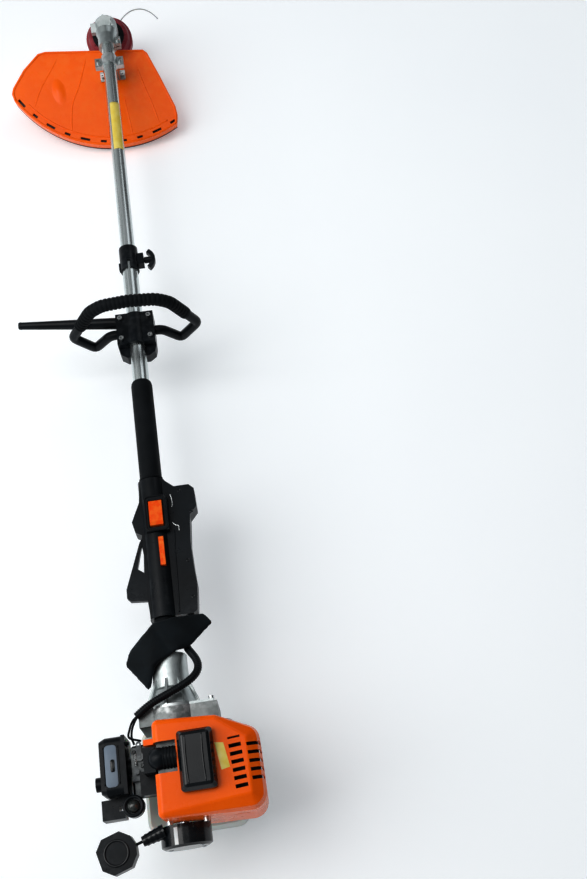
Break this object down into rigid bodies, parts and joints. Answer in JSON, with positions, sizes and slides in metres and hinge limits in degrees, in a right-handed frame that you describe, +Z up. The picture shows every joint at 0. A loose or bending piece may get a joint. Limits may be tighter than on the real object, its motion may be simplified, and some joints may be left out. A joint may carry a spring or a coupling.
{
  "type": "string trimmer",
  "caption": "Petrol string trimmer: rear engine on a long split shaft, loop handle, throttle grip, debris guard and a bump-feed line head.",
  "frame": {"origin": "on the ground under the middle of the whole trimmer as it lies at rest on its fuel tank and guard", "axes": "+Y along the shaft toward the cutting head, +X to the muffler side, +Z up through the cylinder"},
  "size_m": [0.338, 1.7354, 0.255],
  "materials": {
    "cast_aluminium": "cast, lightly blasted",
    "tube_aluminium": "drawn and satin anodised",
    "bright_steel": "machined",
    "spring_steel": "zinc plated",
    "cast_grey": "grey die casting",
    "orange_gloss": "moulded, glossy",
    "orange_control": "moulded, semi gloss",
    "black_plastic": "moulded, fine grain",
    "black_gloss": "moulded, glossy",
    "black_rubber": "ribbed grip rubber",
    "maroon_plastic": "moulded",
    "tank_white": "translucent blow moulding",
    "white_ceramic": "glazed",
    "nylon_line": "drawn nylon",
    "pad_fabric": "woven cover over foam",
    "bush_plastic": "plain bearing plastic"
  },
  "bodies": {
    "root": {"gear_case": "cast_aluminium", "gear_bearings": "bright_steel", "guard": "orange_gloss", "guard_skirt": "black_rubber", "line_cutter": "bright_steel", "guard_bracket": "cast_aluminium", "cap_screws": "spring_steel", "front_tube": "tube_aluminium", "rear_tube": "tube_aluminium", "shaft_bushes": "bush_plastic", "coupler_body": "black_plastic", "loop_handle": "black_plastic", "loop_grip": "black_rubber", "bracket_cap": "black_plastic", "bracket_base": "black_plastic", "barrier_bar": "black_plastic", "front_grip": "black_rubber", "handle_shell_top": "black_plastic", "handle_shell_bottom": "black_plastic", "hip_pad": "pad_fabric", "throttle_conduit": "black_plastic", "clutch_case": "cast_aluminium", "crankcase": "cast_grey", "cylinder_barrel": "cast_grey", "spark_plug": "white_ceramic", "plug_cover": "black_gloss", "shroud": "orange_gloss", "muffler": "cast_grey", "intake_boot": "black_plastic", "carburettor": "cast_aluminium", "air_filter_base": "black_plastic", "air_filter_cover": "black_plastic", "starter_housing": "black_gloss", "fuel_tank": "tank_white"},
    "cutting_head": {"output_shaft": "bright_steel", "bevel_gear": "bright_steel", "head_housing": "black_plastic", "head_cover": "maroon_plastic", "head_spring": "spring_steel", "cutting_line": "nylon_line"},
    "bump_feed": {"spool": "black_plastic", "bump_knob": "black_plastic"},
    "drive_line": {"drive_shaft": "bright_steel", "bevel_pinion": "bright_steel", "clutch_drum": "bright_steel"},
    "crank": {"crankshaft": "bright_steel", "flywheel": "cast_aluminium", "clutch_shoes": "cast_grey"},
    "piston": {"piston": "cast_aluminium"},
    "coupler_screw": {"coupler_knob": "black_plastic"},
    "trigger": {"throttle_trigger": "black_plastic"},
    "lockout": {"lockout_lever": "orange_control"},
    "stop_rocker": {"stop_switch": "orange_control"},
    "carb_throttle": {"throttle_arm": "bright_steel"},
    "primer": {"primer_bulb": "bright_steel"},
    "filter_screw": {"filter_knob": "black_plastic"},
    "choke": {"choke_lever": "black_plastic"},
    "pulley": {"starter_pulley": "black_plastic"},
    "pull_grip": {"starter_handle": "black_plastic"},
    "tank_cap": {"fuel_cap": "black_plastic"}
  },
  "joints": [
    {"name": "head_spin", "type": "hinge", "parent": "root", "child": "cutting_head", "pos_m": [0.0455, 0.785, 0.14], "axis": [0, -0.4226, 0.9063], "continuous": true},
    {"name": "bump_press", "type": "slide", "parent": "cutting_head", "child": "bump_feed", "axis": [0, -0.4226, 0.9063], "range_m": [0, 0.004], "stiffness_N_per_m": 1200},
    {"name": "drive_spin", "type": "hinge", "parent": "root", "child": "drive_line", "pos_m": [0.0455, 0.067, 0.14], "axis": [0, 1, 0], "continuous": true},
    {"name": "crank_spin", "type": "hinge", "parent": "root", "child": "crank", "pos_m": [0.0455, -0.733, 0.14], "axis": [0, 1, 0], "continuous": true},
    {"name": "piston_stroke", "type": "slide", "parent": "root", "child": "piston", "axis": [0, 0, 1], "range_m": [-0.021, 0]},
    {"name": "coupler_turn", "type": "hinge", "parent": "root", "child": "coupler_screw", "pos_m": [0.0655, 0.171, 0.14], "axis": [1, 0, 0], "range_deg": [0, 360]},
    {"name": "trigger_pull", "type": "hinge", "parent": "root", "child": "trigger", "pos_m": [0.0295, -0.365, 0.1185], "axis": [0, 0, 1], "range_deg": [0, 11], "stiffness_Nm_per_rad": 0.6},
    {"name": "lockout_press", "type": "hinge", "parent": "root", "child": "lockout", "pos_m": [0.0535, -0.383, 0.158], "axis": [1, 0, 0], "range_deg": [0, 3], "stiffness_Nm_per_rad": 0.4},
    {"name": "stop_rock", "type": "hinge", "parent": "root", "child": "stop_rocker", "pos_m": [0.05, -0.342, 0.16], "axis": [1, 0, 0], "range_deg": [0, 8]},
    {"name": "throttle_arm_turn", "type": "hinge", "parent": "root", "child": "carb_throttle", "pos_m": [-0.0065, -0.713, 0.176], "axis": [0, 0, 1], "range_deg": [-50, 0]},
    {"name": "primer_press", "type": "slide", "parent": "root", "child": "primer", "axis": [0, 0, -1], "range_m": [0, 0.004], "stiffness_N_per_m": 600},
    {"name": "filter_knob_turn", "type": "hinge", "parent": "root", "child": "filter_screw", "pos_m": [-0.0645, -0.739, 0.154], "axis": [-1, 0, 0], "range_deg": [0, 360]},
    {"name": "choke_turn", "type": "hinge", "parent": "root", "child": "choke", "pos_m": [-0.0225, -0.693, 0.18], "axis": [1, 0, 0], "range_deg": [0, 60]},
    {"name": "grip_pull", "type": "slide", "parent": "root", "child": "pull_grip", "axis": [-0.9579, -0.287, 0], "range_m": [0, 0.03], "stiffness_N_per_m": 150, "springref_m": -0.02},
    {"name": "pulley_turn", "type": "hinge", "parent": "root", "child": "pulley", "pos_m": [0.0455, -0.823, 0.14], "axis": [0, 1, 0], "range_deg": [-90, 0]},
    {"name": "tank_cap_turn", "type": "hinge", "parent": "root", "child": "tank_cap", "pos_m": [-0.0245, -0.713, 0.042], "axis": [-1, 0, 0], "range_deg": [0, 270]}
  ],
  "couplings": [
    {"joint": "drive_spin", "follows": "head_spin", "ratio": -1.3571},
    {"joint": "throttle_arm_turn", "follows": "trigger_pull", "ratio": -4.5455},
    {"joint": "pulley_turn", "follows": "grip_pull", "rad_per_m": -50}
  ]
}
